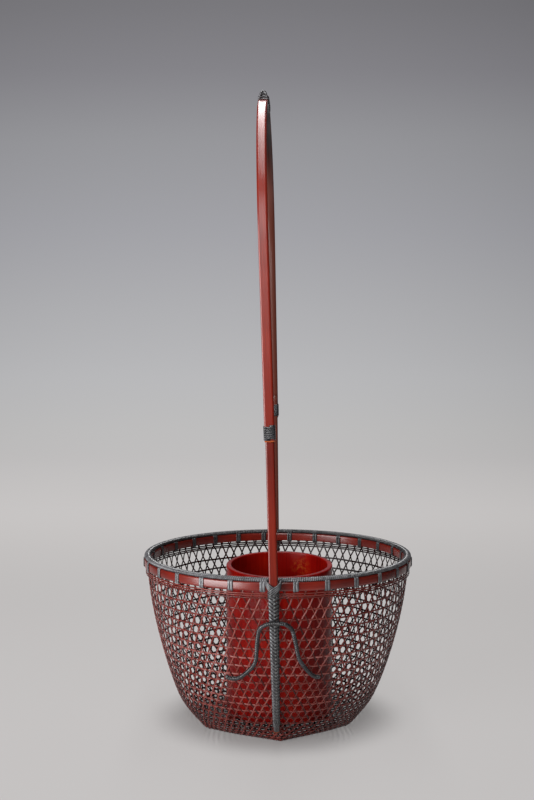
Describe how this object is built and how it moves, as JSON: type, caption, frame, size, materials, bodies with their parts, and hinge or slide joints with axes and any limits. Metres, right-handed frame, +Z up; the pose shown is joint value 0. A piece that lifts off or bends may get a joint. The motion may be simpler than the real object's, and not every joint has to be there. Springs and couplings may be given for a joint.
{
  "type": "ikebana basket",
  "caption": "Openwork hexagonal bamboo flower basket on a six-sided foot, with a lashed rim, a tall arched handle and a lift-out lacquered water tube.",
  "frame": {"origin": "under the middle of the six-sided foot, on the plane that the basket stands on", "axes": "+Z up; -Y is the front, and the handle stands over the Y axis with a leg at the front and one at the back"},
  "size_m": [0.231, 0.2462, 0.5348],
  "materials": {
    "woven_bamboo": "thin split bamboo, red-brown lacquer, satin",
    "hoop_bamboo": "flat bamboo hoop, red-brown lacquer, satin",
    "handle_bamboo": "bamboo strip with bevelled edges, red lacquer, satin",
    "dark_rattan": "split rattan stained grey-black, semi-matte",
    "tube_lacquer": "bamboo tube, bright red lacquer rubbed through, glossy",
    "splint_bamboo": "split bamboo, red-brown lacquer, satin"
  },
  "bodies": {
    "basket": {"body_weave": "woven_bamboo", "outer_hoop": "hoop_bamboo", "inner_hoop": "hoop_bamboo", "rim_cord": "dark_rattan", "edge_strip_1": "woven_bamboo", "edge_strip_2": "woven_bamboo", "edge_strip_3": "woven_bamboo", "rim_tie_01": "dark_rattan", "rim_tie_02": "dark_rattan", "rim_tie_03": "dark_rattan", "rim_tie_04": "dark_rattan", "rim_tie_05": "dark_rattan", "rim_tie_06": "dark_rattan", "rim_tie_07": "dark_rattan", "rim_tie_08": "dark_rattan", "rim_tie_09": "dark_rattan", "rim_tie_10": "dark_rattan", "rim_tie_11": "dark_rattan", "rim_tie_12": "dark_rattan", "rim_tie_13": "dark_rattan", "rim_tie_14": "dark_rattan", "rim_tie_15": "dark_rattan", "rim_tie_16": "dark_rattan", "rim_tie_17": "dark_rattan", "rim_tie_18": "dark_rattan", "rim_tie_19": "dark_rattan", "rim_tie_20": "dark_rattan", "rim_tie_21": "dark_rattan", "rim_tie_22": "dark_rattan", "rim_tie_23": "dark_rattan", "rim_tie_24": "dark_rattan", "rim_tie_25": "dark_rattan", "rim_tie_26": "dark_rattan", "rim_tie_27": "dark_rattan", "rim_tie_28": "dark_rattan", "handle_leg_front": "handle_bamboo", "handle_arch_front": "handle_bamboo", "leg_binding_front": "dark_rattan", "braid_front": "dark_rattan", "leg_lashing_front": "dark_rattan", "ornament_front": "dark_rattan", "handle_leg_back": "handle_bamboo", "handle_arch_back": "handle_bamboo", "leg_binding_back": "dark_rattan", "braid_back": "dark_rattan", "leg_lashing_back": "dark_rattan", "ornament_back": "dark_rattan", "apex_binding": "dark_rattan", "apex_knot": "dark_rattan", "floor_splint_1": "splint_bamboo", "floor_splint_2": "splint_bamboo", "floor_splint_3": "splint_bamboo"},
    "tube": {"water_tube": "tube_lacquer"}
  },
  "joints": [
    {"name": "tube_lift", "type": "slide", "parent": "basket", "child": "tube", "axis": [0, 0, 1], "range_m": [0, 0.15]}
  ]
}
